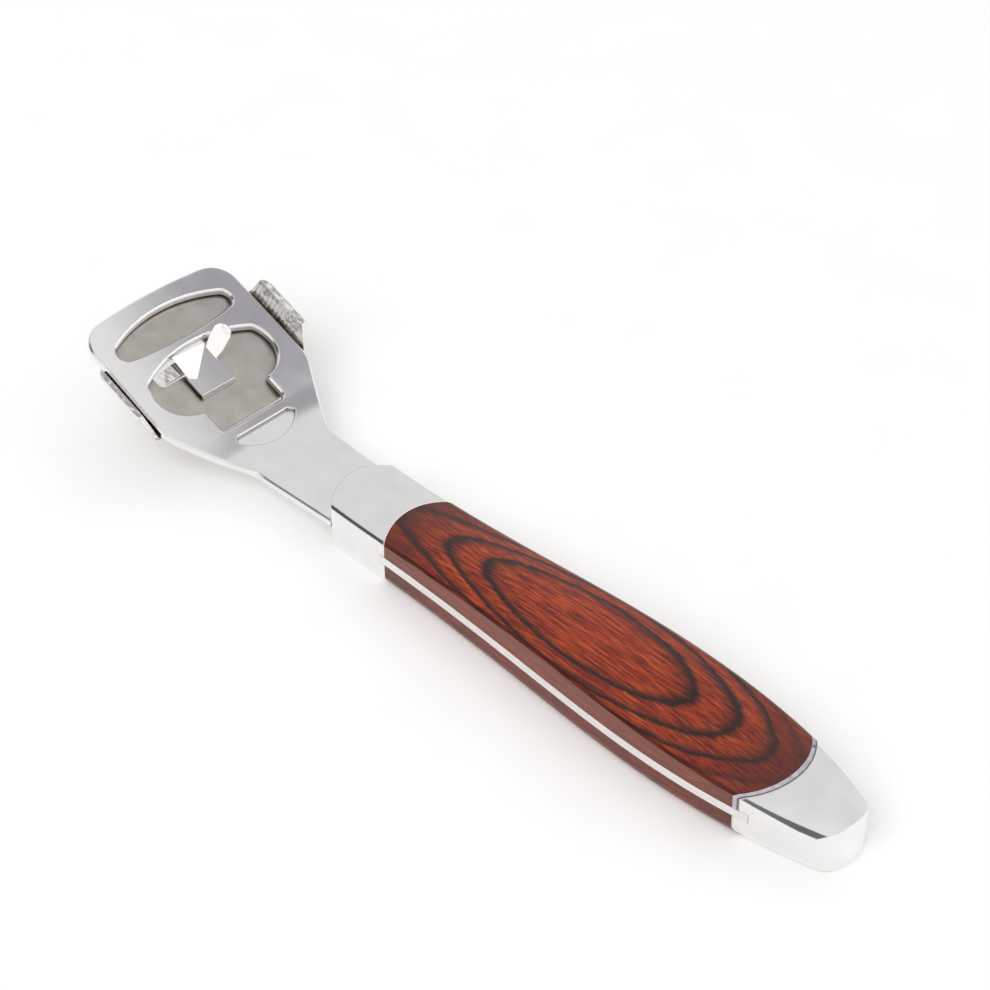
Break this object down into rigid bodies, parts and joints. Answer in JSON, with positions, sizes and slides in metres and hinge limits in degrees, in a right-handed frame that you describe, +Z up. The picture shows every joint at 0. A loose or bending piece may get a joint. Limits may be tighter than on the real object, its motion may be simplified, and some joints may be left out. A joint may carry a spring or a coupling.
{
  "type": "foot scraper",
  "caption": "Foot scraper: pierced, tilted steel head plate with a sliding guard plate under it, on a full steel tang between wooden scales.",
  "frame": {"origin": "on the flat underside of the handle, on its centre line, at mid-handle", "axes": "+X towards the head, +Y to the left seen from the handle, +Z up from the underside"},
  "size_m": [0.1751, 0.0408, 0.0207],
  "materials": {
    "polished_steel": "mirror-polished stainless sheet",
    "satin_steel": "finely ground and polished stainless",
    "laminated_wood": "dyed, resin-bonded and polished veneer",
    "grey_fibre": "satin",
    "dowel_steel": "drawn wire, cut to length"
  },
  "bodies": {
    "handle": {"head_plate": "polished_steel", "bolster": "satin_steel", "tang": "satin_steel", "upper_scale": "laminated_wood", "lower_scale": "laminated_wood", "rear_filler": "grey_fibre", "end_cap": "satin_steel", "front_dowel": "dowel_steel", "rear_dowel": "dowel_steel"},
    "guard": {"guard_plate": "polished_steel"}
  },
  "joints": [
    {"name": "guard_slide", "type": "slide", "parent": "handle", "child": "guard", "axis": [-0.9304, 0, -0.3665], "range_m": [0, 0.0031]}
  ]
}
